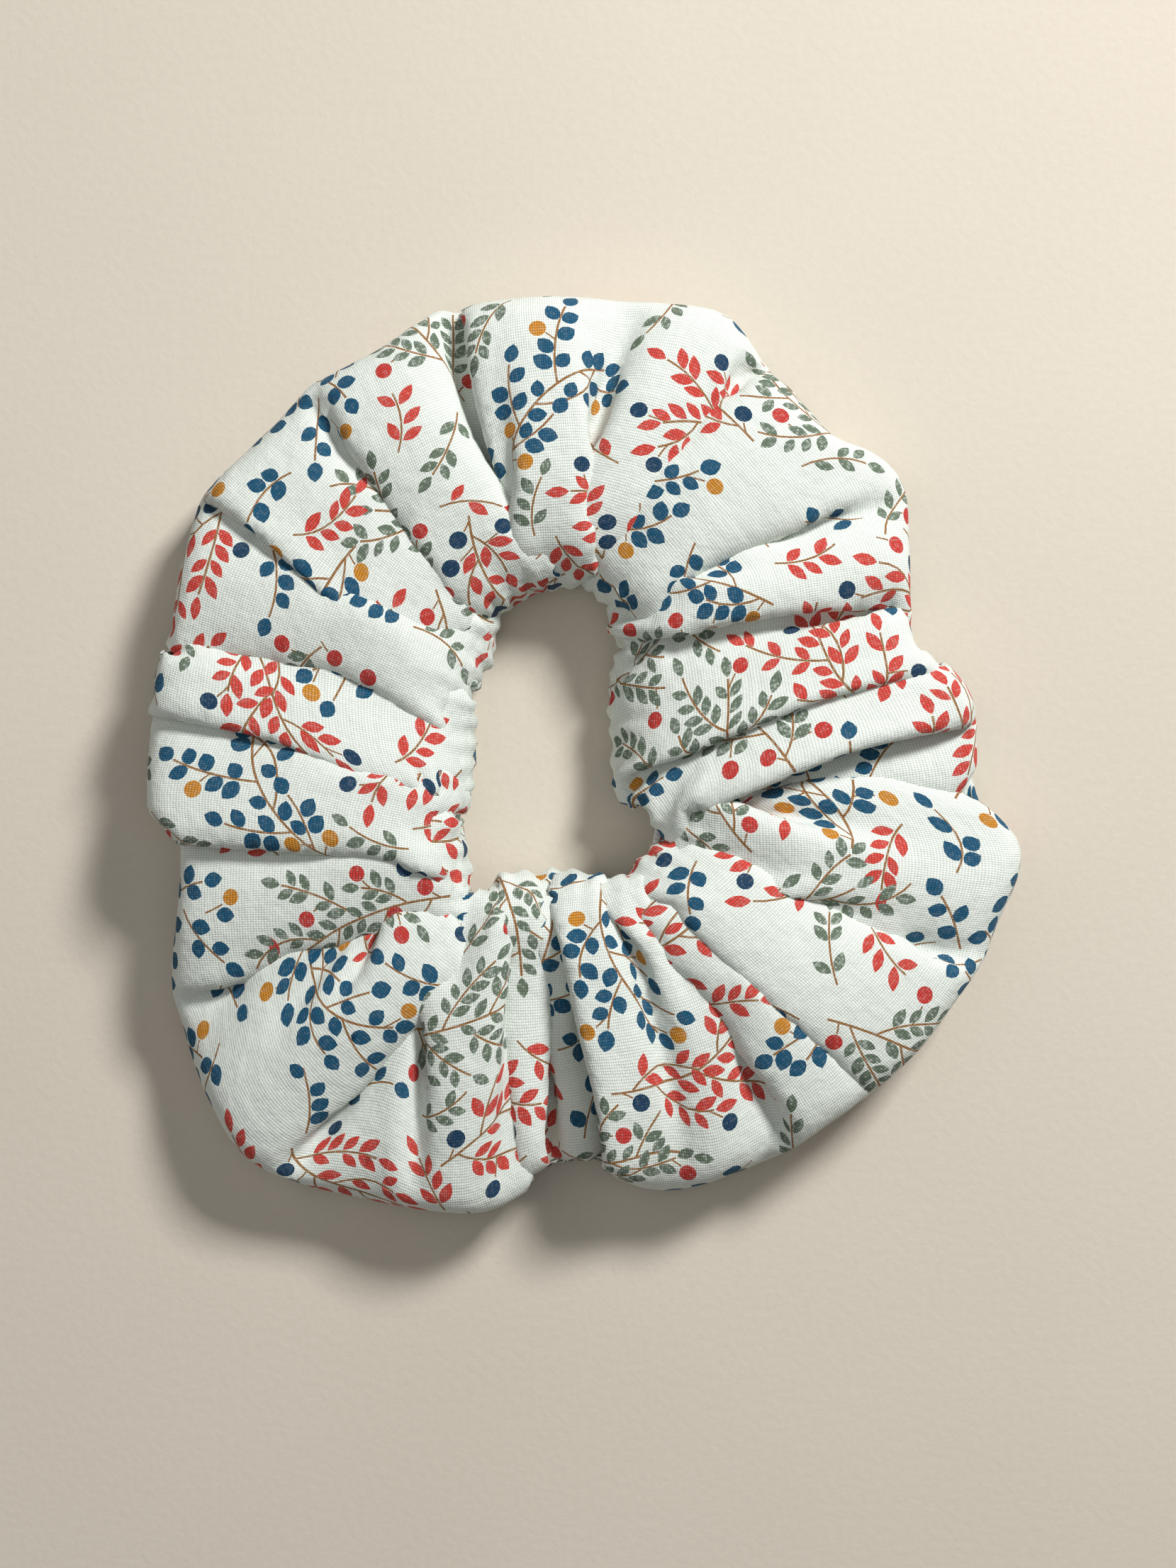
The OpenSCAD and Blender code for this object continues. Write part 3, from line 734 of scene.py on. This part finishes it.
def print_cloth():
    """the whole strip as one triangulation, with every leaf, berry and stem cut into it"""
    S0, S1, T0_, T1 = -ALLOW_S, LENGTH + ALLOW_S, -ALLOW_T, TUBE + ALLOW_T
    k = PRINT_SCALE
    TW, TH = TILE[0] * k, TILE[1] * k
    leaves, dots, stems = sprig_tile()
    leaves = [(x * k, y * k, a, ln * k, wd * k, kind) for x, y, a, ln, wd, kind in leaves]
    dots = [(x * k, y * k, r * k * 0.93, kind) for x, y, r, kind in dots]
    stems = [([(x * k, y * k, h) for x, y, h in P], w * 1.05) for P, w in stems]
    polys, inks = [], []
    for i in range(int((S1 - S0) // TW) + 2):
        for j in range(-1, int((T1 - T0_) // TH) + 2):
            ox, oy = S0 - 10 + i * TW, T0_ - 20 + j * TH + (TH / 2 if i % 2 else 0)
            for lf in leaves:
                polys.append([(x + ox, y + oy) for x, y in outline(*lf)][::-1])      # anticlockwise, as the triangulation needs
                inks.append(lf[5])
            for x, y, r, kind in dots:
                polys.append([(x + ox + r * math.cos(a * math.pi / 6), y + oy + r * math.sin(a * math.pi / 6)) for a in range(12)])
                inks.append("d_" + kind)
            for P, w in stems:
                Q = P[::2] + ([P[-1]] if len(P) % 2 == 0 else [])
                if len(Q) < 2:
                    continue
                a = [(x + ox - math.sin(h) * w, y + oy + math.cos(h) * w) for x, y, h in Q]
                b = [(x + ox + math.sin(h) * w, y + oy - math.cos(h) * w) for x, y, h in Q]
                polys.append(b + a[::-1])
                inks.append("stem")
    keep = [n for n, P in enumerate(polys) if min(p[0] for p in P) > S0 + 0.1 and max(p[0] for p in P) < S1 - 0.1
            and min(p[1] for p in P) > T0_ + 0.1 and max(p[1] for p in P) < T1 - 0.1]
    polys = [polys[n] for n in keep]
    inks = [inks[n] for n in keep]
    pts, faces = [], []
    for P in polys:
        faces.append(list(range(len(pts), len(pts) + len(P))))
        pts += P
    npoly = len(pts)
    # edges of the strip and its fold lines
    edges = []

    def run(p, q, step):
        n = max(1, int(round(math.hypot(q[0] - p[0], q[1] - p[1]) / step)))
        i0 = len(pts)
        for i in range(n + 1):
            pts.append((p[0] + (q[0] - p[0]) * i / n, p[1] + (q[1] - p[1]) * i / n))
        edges.extend((i0 + i, i0 + i + 1) for i in range(n))

    run((S0, T0_), (S1, T0_), 2.5), run((S0, T1), (S1, T1), 2.5)
    run((S0, T0_), (S0, T1), 2.0), run((S1, T0_), (S1, T1), 2.0)
    run((S0, 0), (S1, 0), 0.9), run((S0, TUBE), (S1, TUBE), 0.9)
    run((0, T0_), (0, T1), 0.9)
    # plain ground between the sprigs: a hexagonal net, closer where the cloth is gathered
    cell = 0.5
    W, H = int((S1 - S0) / cell) + 3, int((T1 - T0_) / cell) + 3
    taken = np.zeros((W, H), bool)
    a = np.array(pts)
    gi, gj = ((a[:, 0] - S0) / cell).astype(int) + 1, ((a[:, 1] - T0_) / cell).astype(int) + 1
    for dx in (-1, 0, 1):
        for dy in (-1, 0, 1):
            taken[np.clip(gi + dx, 0, W - 1), np.clip(gj + dy, 0, H - 1)] = True
    for lo, hi, step in ((T0_, 0, 2.4), (0, 8, 1.5), (8, TUBE / 2 - 12, 1.55), (TUBE / 2 - 12, TUBE / 2 + 12, 1.0), (TUBE / 2 + 12, TUBE - 8, 1.55), (TUBE - 8, TUBE, 1.5), (TUBE, T1, 2.4)):
        rows = np.arange(lo + step * 0.45, hi - step * 0.2, step * 0.866)
        for r, t in enumerate(rows):
            s = np.arange(S0 + step * (0.5 + 0.5 * (r % 2)), S1 - step * 0.4, step)
            ii, jj = ((s - S0) / cell).astype(int) + 1, int((t - T0_) / cell) + 1
            pts.extend((float(q), float(t)) for q in s[~taken[ii, jj]])
    say("print: %d shapes, %d points" % (len(polys), len(pts)))
    v, e, f, ov, oe, of = delaunay_2d_cdt([Vector(p) for p in pts], edges, faces, 0, 1e-4, True)
    v = np.array([(p[0], p[1]) for p in v])
    f = np.array(f)
    ink = np.zeros((len(f), 4), np.float32)
    for n, src in enumerate(of):
        if src:
            k = max(src, key=lambda q: RANK[inks[q]])
            ink[n] = INK[inks[k]]
    # triangles outside the strip can't be, the hull is the strip; drop those with no area
    A = v[f[:, 1]] - v[f[:, 0]]
    B = v[f[:, 2]] - v[f[:, 0]]
    area = np.abs(A[:, 0] * B[:, 1] - A[:, 1] * B[:, 0]) / 2
    ok = area > 1e-6
    say("print: %d vertices, %d triangles" % (len(v), ok.sum()))
    return v, f[ok], ink[ok]


def mesh_piece(name, verts, faces, mat, smooth=True):
    me = bpy.data.meshes.new(name)
    me.from_pydata((np.asarray(verts) * 0.001).tolist(), [], [list(map(int, q)) for q in faces])
    me.validate()
    me.update()
    me.polygons.foreach_set("use_smooth", [smooth] * len(me.polygons))
    me.materials.append(mat)
    o = bpy.data.objects.new(name, me)
    bpy.context.scene.collection.objects.link(o)
    return o

# ---------------------------------------------------------------- materials
def node_mat(name):
    m = bpy.data.materials.new(name)
    m.use_nodes = True
    nt = m.node_tree
    return m, nt, nt.nodes["Principled BSDF"]


class Net:
    """short hand for wiring shader nodes"""

    def __init__(self, nt):
        self.nt = nt

    def new(self, kind, **props):
        n = self.nt.nodes.new(kind)
        for k, v in props.items():
            setattr(n, k, v)
        return n

    def put(self, sock, v):
        if isinstance(v, bpy.types.NodeSocket):
            self.nt.links.new(v, sock)
        else:
            sock.default_value = v

    def math(self, op, a, b=None, c=None, clamp=False):
        n = self.new("ShaderNodeMath", operation=op, use_clamp=clamp)
        for i, v in enumerate((a, b, c)):
            if v is not None:
                self.put(n.inputs[i], v)
        return n.outputs[0]

    def ramp(self, v, lo, hi, a=0.0, b=1.0):
        n = self.new("ShaderNodeMapRange")
        n.clamp = True
        for i, q in enumerate((v, lo, hi, a, b)):
            self.put(n.inputs[i], q)
        return n.outputs[0]

    def mix(self, f, a, b, mode="MIX"):
        n = self.new("ShaderNodeMix", data_type="RGBA", blend_type=mode)
        self.put(n.inputs[0], f)
        self.put(n.inputs[6], a)
        self.put(n.inputs[7], b)
        return n.outputs[2]

    def noise(self, vec, scale, detail=2.0, rough=0.5):
        n = self.new("ShaderNodeTexNoise")
        self.put(n.inputs["Vector"], vec)
        self.put(n.inputs["Scale"], scale)
        self.put(n.inputs["Detail"], detail)
        self.put(n.inputs["Roughness"], rough)
        return n.outputs[0]


def cotton():
    """plain-weave printed cotton: warp 0.318 mm and weft 0.423 mm apart, ink sitting on top of the threads"""
    m, nt, bsdf = node_mat("printed_cotton")
    N = Net(nt)
    uv = N.new("ShaderNodeUVMap")
    uv.uv_map = "strip"
    sep = N.new("ShaderNodeSeparateXYZ")
    nt.links.new(uv.outputs[0], sep.inputs[0])
    # the threads aren't ruler straight
    wav = N.noise(uv.outputs[0], 0.12, 1.0)
    x = N.math("ADD", N.math("DIVIDE", sep.outputs[0], 0.318), N.math("MULTIPLY", wav, 2.2))
    y = N.math("ADD", N.math("DIVIDE", sep.outputs[1], 0.423), N.math("MULTIPLY", wav, 1.8))
    fx, fy = N.math("FLOOR", x), N.math("FLOOR", y)
    cx = N.math("SUBTRACT", N.math("SUBTRACT", x, fx), 0.5)
    cy = N.math("SUBTRACT", N.math("SUBTRACT", y, fy), 0.5)
    par = N.math("FLOORED_MODULO", N.math("ADD", fx, fy), 2.0)
    sgn = N.math("SUBTRACT", N.math("MULTIPLY", par, 2.0), 1.0)
    rx = N.math("SQRT", N.math("MAXIMUM", N.math("SUBTRACT", 1.0, N.math("MULTIPLY", N.math("MULTIPLY", cx, cx), 3.9)), 0.0))
    ry = N.math("SQRT", N.math("MAXIMUM", N.math("SUBTRACT", 1.0, N.math("MULTIPLY", N.math("MULTIPLY", cy, cy), 3.9)), 0.0))
    ux = N.math("MULTIPLY", sgn, N.math("COSINE", N.math("MULTIPLY", cy, math.pi)))
    uy = N.math("MULTIPLY", sgn, N.math("COSINE", N.math("MULTIPLY", cx, math.pi)))
    warp = N.math("ADD", N.math("MULTIPLY", rx, 0.6), N.math("MULTIPLY", ux, 0.4))
    weft = N.math("SUBTRACT", N.math("MULTIPLY", ry, 0.6), N.math("MULTIPLY", uy, 0.4))
    high = N.math("MAXIMUM", warp, weft)
    # each thread a little lighter or darker, slubs along it
    comb = N.new("ShaderNodeCombineXYZ")
    N.put(comb.inputs[0], fx), N.put(comb.inputs[1], N.math("MULTIPLY", y, 0.05))
    wn1 = N.new("ShaderNodeTexWhiteNoise", noise_dimensions="1D")
    N.put(wn1.inputs["W"], fx)
    wn2 = N.new("ShaderNodeTexWhiteNoise", noise_dimensions="1D")
    N.put(wn2.inputs["W"], fy)
    slub = N.noise(comb.outputs[0], 3.0, 2.0)
    is_warp = N.math("GREATER_THAN", warp, weft)
    tone = N.math("ADD", N.math("MULTIPLY", is_warp, wn1.outputs[0]), N.math("MULTIPLY", N.math("SUBTRACT", 1.0, is_warp), wn2.outputs[0]))
    wn3 = N.new("ShaderNodeTexWhiteNoise", noise_dimensions="2D")
    comb2 = N.new("ShaderNodeCombineXYZ")
    N.put(comb2.inputs[0], fx), N.put(comb2.inputs[1], fy)
    nt.links.new(comb2.outputs[0], wn3.inputs["Vector"])
    cell = wn3.outputs[0]
    gap = N.ramp(high, 0.34, 0.92)                       # 0 in the holes between threads
    # the colour is painted darker in the holes between the threads, as shade; each thread also gets a random tone, and
    # the warp is slightly lighter than the weft
    painted_gap_shade_and_thread_tone = N.math("MULTIPLY", N.math("ADD", N.math("MULTIPLY", gap, 0.36), 0.68), N.math("ADD", N.math("MULTIPLY", tone, 0.07), 0.95))
    painted_gap_shade_and_thread_tone = N.math("MULTIPLY", painted_gap_shade_and_thread_tone, N.math("ADD", N.math("MULTIPLY", is_warp, 0.035), 0.975))
    cloud = N.noise(uv.outputs[0], 0.05, 3.0)
    ground = N.mix(cloud, WHITE_A + (1,), WHITE_B + (1,))
    # ink: the colour of each printed shape is kept on the mesh, and misses some of the raised threads
    att = N.new("ShaderNodeAttribute", attribute_name="ink")
    miss = N.math("MULTIPLY", N.ramp(cell, 0.50, 0.95), N.ramp(N.math("SUBTRACT", 1.0, att.outputs["Alpha"]), 0.0, 0.16, 0.0, 0.80))
    rub = N.ramp(N.noise(uv.outputs[0], 1.7, 2.0), 0.60, 0.85, 0.0, 0.06)
    cover = N.math("MULTIPLY", att.outputs["Alpha"], N.math("SUBTRACT", 1.0, N.math("MAXIMUM", miss, rub)))
    edge = N.math("MULTIPLY", cover, N.math("ADD", 0.985, N.math("MULTIPLY", tone, 0.015)))
    # the ink is painted darker and bluer in the holes between the threads, as shade
    ink_with_painted_gap_shade = N.mix(N.math("MULTIPLY", gap, 0.85), N.mix(1.0, att.outputs["Color"], (0.42, 0.46, 0.52, 1), "MULTIPLY"), att.outputs["Color"])
    col = N.mix(edge, ground, ink_with_painted_gap_shade)
    sh = N.new("ShaderNodeCombineColor")
    for i in range(3):
        N.put(sh.inputs[i], painted_gap_shade_and_thread_tone)
    col = N.mix(1.0, col, sh.outputs[0], "MULTIPLY")
    nt.links.new(col, bsdf.inputs["Base Color"])
    rough = N.ramp(high, 0.2, 1.0, 0.96, 0.80)
    nt.links.new(rough, bsdf.inputs["Roughness"])
    bsdf.inputs["Sheen Weight"].default_value = 0.05
    bsdf.inputs["Sheen Roughness"].default_value = 0.45
    bsdf.inputs["Specular IOR Level"].default_value = 0.18
    b1 = N.new("ShaderNodeBump")
    b1.inputs["Strength"].default_value = 0.75
    b1.inputs["Distance"].default_value = 0.00009
    N.put(b1.inputs["Height"], N.math("ADD", high, N.math("MULTIPLY", slub, 0.35)))
    b2 = N.new("ShaderNodeBump")                         # faint handling creases
    b2.inputs["Strength"].default_value = 0.5
    b2.inputs["Distance"].default_value = 0.0006
    N.put(b2.inputs["Height"], N.noise(uv.outputs[0], 0.35, 3.0, 0.55))
    nt.links.new(b1.outputs[0], b2.inputs["Normal"])
    nt.links.new(b2.outputs[0], bsdf.inputs["Normal"])
    return m


def thread_mat(name, a, b):
    m, nt, bsdf = node_mat(name)
    N = Net(nt)
    uv = N.new("ShaderNodeUVMap")
    uv.uv_map = "twist"
    sep = N.new("ShaderNodeSeparateXYZ")
    nt.links.new(uv.outputs[0], sep.inputs[0])
    # two plies twisted together
    ply = N.math("ABSOLUTE", N.math("SINE", N.math("MULTIPLY", N.math("ADD", N.math("MULTIPLY", sep.outputs[0], 1.4), sep.outputs[1]), math.pi * 2)))
    fuzz = N.noise(uv.outputs[0], 14.0, 3.0)
    # the colour is painted darker in the groove between the plies, as shade, with a random fuzz tone on top
    nt.links.new(N.mix(N.math("MULTIPLY", ply, fuzz), a + (1,), b + (1,)), bsdf.inputs["Base Color"])
    nt.links.new(N.ramp(fuzz, 0.3, 0.7, 0.55, 0.8), bsdf.inputs["Roughness"])
    bsdf.inputs["Sheen Weight"].default_value = 0.2
    bp = N.new("ShaderNodeBump")
    bp.inputs["Strength"].default_value = 0.8
    bp.inputs["Distance"].default_value = 0.00006
    N.put(bp.inputs["Height"], ply)
    nt.links.new(bp.outputs[0], bsdf.inputs["Normal"])
    return m


def braid_mat():
    m, nt, bsdf = node_mat("elastic_braid")
    N = Net(nt)
    uv = N.new("ShaderNodeUVMap")
    uv.uv_map = "twist"
    sep = N.new("ShaderNodeSeparateXYZ")
    nt.links.new(uv.outputs[0], sep.inputs[0])
    along, across = sep.outputs[0], sep.outputs[1]
    zig = N.math("PINGPONG", N.math("DIVIDE", across, 0.86), 0.5)
    pick = N.math("SINE", N.math("MULTIPLY", N.math("ADD", N.math("DIVIDE", along, 0.7), zig), math.pi * 2))
    rib = N.math("ABSOLUTE", N.math("COSINE", N.math("MULTIPLY", across, math.pi / 0.86)))
    fuzz = N.noise(uv.outputs[0], 3.0, 3.0)
    k = N.math("ADD", N.math("MULTIPLY", N.ramp(pick, -1.0, 1.0), 0.5), N.math("MULTIPLY", rib, 0.5))
    # the colour is painted darker where the braid's picks and ribs lie low, as shade, with a random fuzz tone on top
    nt.links.new(N.mix(N.math("MULTIPLY", k, N.ramp(fuzz, 0.2, 0.8, 0.75, 1.0)), (0.42, 0.42, 0.40, 1), (0.82, 0.82, 0.79, 1)), bsdf.inputs["Base Color"])
    nt.links.new(N.ramp(fuzz, 0.3, 0.7, 0.6, 0.85), bsdf.inputs["Roughness"])
    bsdf.inputs["Sheen Weight"].default_value = 0.15
    bp = N.new("ShaderNodeBump")
    bp.inputs["Strength"].default_value = 0.8
    bp.inputs["Distance"].default_value = 0.00012
    N.put(bp.inputs["Height"], k)
    nt.links.new(bp.outputs[0], bsdf.inputs["Normal"])
    return m


WHITE_A = lin(226, 233, 224)
WHITE_B = lin(236, 241, 233)
COTTON = cotton()
THREAD = thread_mat("sewing_thread", lin(206, 208, 198), lin(240, 240, 230))
BRAID = braid_mat()

# ---------------------------------------------------------------- the cover
v2, tris, ink = print_cloth()
xyz = place(v2[:, 0], v2[:, 1])
cover = mesh_piece("cover", xyz, tris, COTTON)
me = cover.data
say("cover mesh", len(me.vertices), len(me.polygons))
loops = np.empty(len(me.loops), np.int32)
me.loops.foreach_get("vertex_index", loops)
lay_uv = me.uv_layers.new(name="strip")
lay_uv.data.foreach_set("uv", v2[loops].astype(np.float32).ravel())
att = me.attributes.new("ink", "FLOAT_COLOR", "FACE")
att.data.foreach_set("color", ink.ravel())
# outward facing
if (lambda P, F: np.cross(P[F[:, 1]] - P[F[:, 0]], P[F[:, 2]] - P[F[:, 0]])[np.abs(v2[F[:, 0], 1] - TUBE * 0.75) < 8, 2].mean() < 0)(xyz, tris):
    me.flip_normals()


# ---------------------------------------------------------------- thread and elastic
class Strand:
    """short round lengths of thread gathered into one mesh, with a map along and round each"""

    def __init__(self):
        self.v, self.f, self.uv = [], [], []

    def add(self, pts, r, sides=6, s0=0.0):
        pts = np.asarray(pts, float)
        n = len(pts)
        T = np.gradient(pts, axis=0)
        T /= np.linalg.norm(T, axis=1)[:, None] + 1e-9
        ref = np.array([0, 0, 1.0]) if abs(T[0][2]) < 0.9 else np.array([1.0, 0, 0])
        A = np.cross(T, ref)
        A /= np.linalg.norm(A, axis=1)[:, None] + 1e-9
        B = np.cross(T, A)
        base = len(self.v)
        L = np.concatenate([[0], np.cumsum(np.linalg.norm(np.diff(pts, axis=0), axis=1))]) + s0
        rr = np.full(n, r)
        rr[0] = rr[-1] = r * 0.55
        for i in range(n):
            for k in range(sides):
                a = 2 * math.pi * k / sides
                self.v.append(pts[i] + (A[i] * math.cos(a) + B[i] * math.sin(a)) * rr[i])
        for i in range(n - 1):
            for k in range(sides):
                k1 = (k + 1) % sides
                self.f.append((base + i * sides + k, base + i * sides + k1, base + (i + 1) * sides + k1, base + (i + 1) * sides + k))
                self.uv.append(((L[i], k / sides), (L[i], (k + 1) / sides), (L[i + 1], (k + 1) / sides), (L[i + 1], k / sides)))
        self.f.append(tuple(base + k for k in range(sides))[::-1])
        self.uv.append(tuple((L[0], k / sides) for k in range(sides)))
        self.f.append(tuple(base + (n - 1) * sides + k for k in range(sides)))
        self.uv.append(tuple((L[-1], k / sides) for k in range(sides)))

    def piece(self, name, mat):
        o = mesh_piece(name, self.v, self.f, mat)
        u = o.data.uv_layers.new(name="twist")
        u.data.foreach_set("uv", np.array([c for q in self.uv for c in q], np.float32).ravel())
        return o


def stitch_row(S, at, total, length, gap, r, seg=5):
    """stitches along a path at(distance array) -> (points, outward normals): each dips at its ends"""
    x = 0.6
    while x + length < total:
        q = np.linspace(x, x + length, seg)
        P, N = at(q)
        h = r * 0.9 - (r * 2.3) * (np.abs(np.linspace(-1, 1, seg)) ** 4)
        S.add(P + N * h[:, None], r, 6, x)
        x += length + gap


# closing seam: a row of stitches round the tube, 1.1 mm from the folded edge
def round_tube(q):
    s = np.full(len(q), 1.1)
    P = place(s, q)
    _, N = on_tube(U0 + s, TUBE / 2 + q)
    return P, N


S = Strand()
stitch_row(S, round_tube, TUBE, 2.0, 0.55, 0.11)
closing = S.piece("closing_seam_stitches", THREAD)


# long seam: a row of stitches inside, through both allowances
def along_seam(q):
    P = place(q, np.full(len(q), -0.45))
    i = np.clip(q % LENGTH, 0, len(_su) - 1.001).astype(int)
    return P, _up[i]


S = Strand()
stitch_row(S, along_seam, LENGTH, 2.1, 0.5, 0.14, 4)
long_seam = S.piece("long_seam_stitches", THREAD)


def elastic_path(step):
    """the elastic's middle line, from its inner end round to the lap, and the outward direction"""
    P, D = [], []
    cx, cy = EL_C
    R, H = EL_R, EL_S
    lap_y0, lap_y1 = 3.8, 13.8
    legs = [("v", cx - R, lap_y1, cy - H), ("a", cy - H, math.pi, 2 * math.pi), ("v", cx + R, cy - H, cy + H), ("a", cy + H, 0, math.pi), ("v", cx - R, cy + H, lap_y0)]
    for leg in legs:
        if leg[0] == "v":
            n = max(2, int(abs(leg[3] - leg[2]) / step))
            for i in range(n):
                P.append((leg[1], leg[2] + (leg[3] - leg[2]) * i / n))
                D.append((-1.0 if leg[1] < cx else 1.0, 0.0))
        else:
            n = int(math.pi * R / step)
            for i in range(n):
                a = leg[2] + (leg[3] - leg[2]) * i / n
                P.append((cx + R * math.cos(a), leg[1] + R * math.sin(a)))
                D.append((math.cos(a), math.sin(a)))
    P.append((cx - R, lap_y0))
    D.append((-1.0, 0.0))
    P, D = np.array(P), np.array(D)
    L = np.concatenate([[0], np.cumsum(np.linalg.norm(np.diff(P, axis=0), axis=1))])
    out = 1.04 * bump01((L - (L[-1] - 17.0)) / 6.5)
    return P + D * out[:, None], D, L


def elastic_band():
    P, D, L = elastic_path(0.62)
    n, half, thick = len(P), (EL_HI - EL_LO) / 2, 0.46
    w = np.linspace(-half + 0.12, half - 0.12, 22)
    ring = [(a, +1) for a in w] + [(a, -1) for a in w[::-1]]
    m = len(ring)
    V = np.zeros((n, m, 3))
    for k, (a, s) in enumerate(ring):
        rib = abs(math.cos(math.pi * a / 0.86))
        end = math.sqrt(max(0.0, 1 - (abs(a) / half) ** 8))
        pick = 0.035 * np.sin(2 * np.pi * (L / 1.4 + abs(((a / 0.86) % 1) - 0.5)))
        t = s * (thick * (0.78 + 0.22 * rib) * (0.55 + 0.45 * end) + pick * 0.6)
        V[:, k, 0] = P[:, 0] + D[:, 0] * t
        V[:, k, 1] = P[:, 1] + D[:, 1] * t
        V[:, k, 2] = (EL_LO + EL_HI) / 2 + a + 0.10 * np.sin(L / 7.0)
    F, UV = [], []
    for i in range(n - 1):
        for k in range(m):
            k1 = (k + 1) % m
            F.append((i * m + k, (i + 1) * m + k, (i + 1) * m + k1, i * m + k1))
            UV += [(L[i], ring[k][0]), (L[i + 1], ring[k][0]), (L[i + 1], ring[k1][0]), (L[i], ring[k1][0])]
    F.append(tuple(range(m)))
    UV += [(L[0], a) for a, _ in ring]
    F.append(tuple((n - 1) * m + k for k in range(m))[::-1])
    UV += [(L[-1], a) for a, _ in ring[::-1]]
    o = mesh_piece("elastic", V.reshape(-1, 3), F, BRAID)
    u = o.data.uv_layers.new(name="twist")
    u.data.foreach_set("uv", np.array(UV, np.float32).ravel())
    return o


elastic = elastic_band()

# zigzag stitches through the lap
S = Strand()
x_out = EL_C[0] - EL_R - 1.04 - 0.5
pts, k = [], 0
for row, (z0, z1) in enumerate(((5.7, 10.3),)):
    y = 5.0
    while y < 12.7:
        pts.append((x_out - 0.16, y, z0 if k % 2 else z1))
        k += 1
        y += 0.62
Z = np.array(pts)
for a, b in zip(Z[:-1], Z[1:]):
    q = np.linspace(0, 1, 6)[:, None]
    seg = a + (b - a) * q
    seg[:, 0] += 0.22 * np.abs(np.linspace(-1, 1, 6)) ** 5
    S.add(seg, 0.17, 6)
join = S.piece("elastic_join_stitches_seen", THREAD)

# ---------------------------------------------------------------- floor, light
bpy.ops.mesh.primitive_grid_add(x_subdivisions=8, y_subdivisions=8, size=1.6, location=(0, 0, 0))
floor = bpy.context.object
floor.name = "floor"
fm, nt, bsdf = node_mat("pale_floor")
N = Net(nt)
tc = N.new("ShaderNodeTexCoord")
fine = N.noise(tc.outputs["Object"], 900.0, 3.0)
wide = N.noise(tc.outputs["Object"], 14.0, 2.0)
nt.links.new(N.mix(N.math("ADD", N.math("MULTIPLY", fine, 0.4), N.math("MULTIPLY", wide, 0.6)), lin(206, 196, 180) + (1,), lin(222, 213, 198) + (1,)), bsdf.inputs["Base Color"])
bsdf.inputs["Roughness"].default_value = 0.85
bp = N.new("ShaderNodeBump")
bp.inputs["Strength"].default_value = 0.25
bp.inputs["Distance"].default_value = 0.0002
N.put(bp.inputs["Height"], fine)
nt.links.new(bp.outputs[0], bsdf.inputs["Normal"])
floor.data.materials.append(fm)
floor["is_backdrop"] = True


def area(name, loc, size, power, target=(0, 0, 0.008), tint=(1, 1, 1)):
    d = bpy.data.lights.new(name, "AREA")
    d.energy, d.size, d.color = power, size, tint
    o = bpy.data.objects.new(name, d)
    o.location = loc
    o.rotation_euler = (Vector(target) - Vector(loc)).to_track_quat("-Z", "Y").to_euler()
    bpy.context.scene.collection.objects.link(o)


area("key", (0.33, 0.42, 0.46), 0.16, 5.6)
area("fill", (-0.32, 0.05, 0.42), 0.5, 0.36)
area("front", (0.0, -0.10, 0.60), 0.5, 0.45)
world = bpy.data.worlds.new("studio")
bpy.context.scene.world = world
world.use_nodes = True
world.node_tree.nodes["Background"].inputs[0].default_value = (1, 1, 1, 1)
world.node_tree.nodes["Background"].inputs[1].default_value = 0.09
bpy.context.scene.view_settings.view_transform = "Standard"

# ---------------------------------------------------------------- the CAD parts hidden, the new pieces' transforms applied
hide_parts("cover_lower", "cover_mid_lower", "cover_mid_upper", "cover_upper")
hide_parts("elastic_lower", "elastic_mid_lower", "elastic_mid_upper", "elastic_upper", "elastic_lap_end")
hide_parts("long_seam_thread_lower", "long_seam_thread_mid_lower", "long_seam_thread_mid_upper", "long_seam_thread_upper")
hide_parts("closing_seam_thread")
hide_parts("elastic_join_stitches")
for o, sl in ((cover, "printed_cotton"), (elastic, "elastic_braid"), (long_seam, "sewing_thread"), (closing, "sewing_thread"), (join, "sewing_thread")):
    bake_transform(o)
bpy.context.view_layer.update()
seen_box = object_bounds()
say("cad", [[round(c * 1000, 1) for c in q] for q in cad_box], "seen", [[round(c * 1000, 1) for c in q] for q in seen_box])
